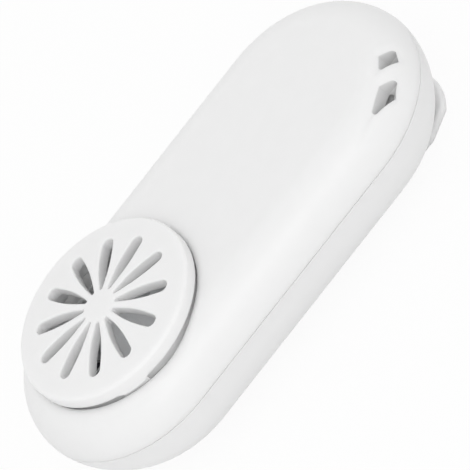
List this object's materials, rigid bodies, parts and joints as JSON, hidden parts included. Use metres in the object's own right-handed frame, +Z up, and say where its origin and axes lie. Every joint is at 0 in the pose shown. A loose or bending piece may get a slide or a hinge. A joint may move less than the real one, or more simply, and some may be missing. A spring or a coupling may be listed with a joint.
{
  "type": "face mask fan",
  "caption": "Small clip-on fan that draws fresh air into a face mask: capsule body, round grille cap, spring clip, lanyard eye, rechargeable cell.",
  "frame": {"origin": "centre of the footprint, on the plane that the clip lever lies on", "axes": "+X along the body from the fan end to the lanyard eye and the lever's thumb tab, +Z up out of the front grille, -Y towards the flank with the lanyard eye"},
  "size_m": [0.0848, 0.04, 0.0248],
  "materials": {
    "shell_plastic": "fine satin, moulded",
    "fan_plastic": "smooth",
    "black_plastic": "matt",
    "clear_plastic": "clear, polished",
    "foam": "open foam",
    "silicone": "soft, matt",
    "steel": "plain",
    "magnet": "pressed and sintered, matt",
    "bronze": "sintered",
    "copper": "enamelled wire",
    "circuit_board": "solder mask",
    "cell_foil": "laminated foil",
    "red_lead": "insulation",
    "black_lead": "insulation"
  },
  "bodies": {
    "body": {"front_shell": "shell_plastic", "rear_shell": "shell_plastic", "grille_cap": "shell_plastic", "fan_frame": "fan_plastic", "fan_gasket": "foam", "bearing_sleeve": "bronze", "stator_core": "steel", "stator_coil_1": "copper", "stator_coil_2": "copper", "stator_coil_3": "copper", "stator_coil_4": "copper", "fan_board": "circuit_board", "fan_lead_1": "red_lead", "fan_lead_2": "black_lead", "battery_cell": "cell_foil", "battery_pad": "foam", "battery_lead_1": "red_lead", "battery_lead_2": "black_lead", "main_board": "circuit_board", "control_chip": "black_plastic", "power_inductor": "magnet", "usb_socket": "steel", "usb_contact_tongue": "black_plastic", "tact_switch": "steel", "status_led": "fan_plastic", "light_guide": "clear_plastic", "board_screw_1": "steel", "board_screw_2": "steel", "shell_screw_1": "steel", "shell_screw_2": "steel", "shell_screw_3": "steel", "shell_screw_4": "steel", "clip_pin": "steel", "clip_spring": "steel"},
    "rotor": {"impeller": "fan_plastic", "rotor_cup": "steel", "magnet_ring": "magnet", "motor_shaft": "steel"},
    "clip": {"clip_lever": "shell_plastic", "jaw_pad": "silicone"},
    "button": {"power_button": "fan_plastic", "switch_plunger": "black_plastic"}
  },
  "joints": [
    {"name": "impeller_spin", "type": "hinge", "parent": "body", "child": "rotor", "pos_m": [-0.02083, 0, 0.0125], "axis": [0, 0, 1], "continuous": true},
    {"name": "clip_hinge", "type": "hinge", "parent": "body", "child": "clip", "pos_m": [0.018, 0, 0.0016], "axis": [0, -1, 0], "range_deg": [0, 4.5], "stiffness_Nm_per_rad": 0.15, "springref_deg": -18.91},
    {"name": "button_press", "type": "slide", "parent": "body", "child": "button", "axis": [0, -1, 0], "range_m": [0, 0.0003], "stiffness_N_per_m": 3000, "springref_m": -0.0002}
  ]
}
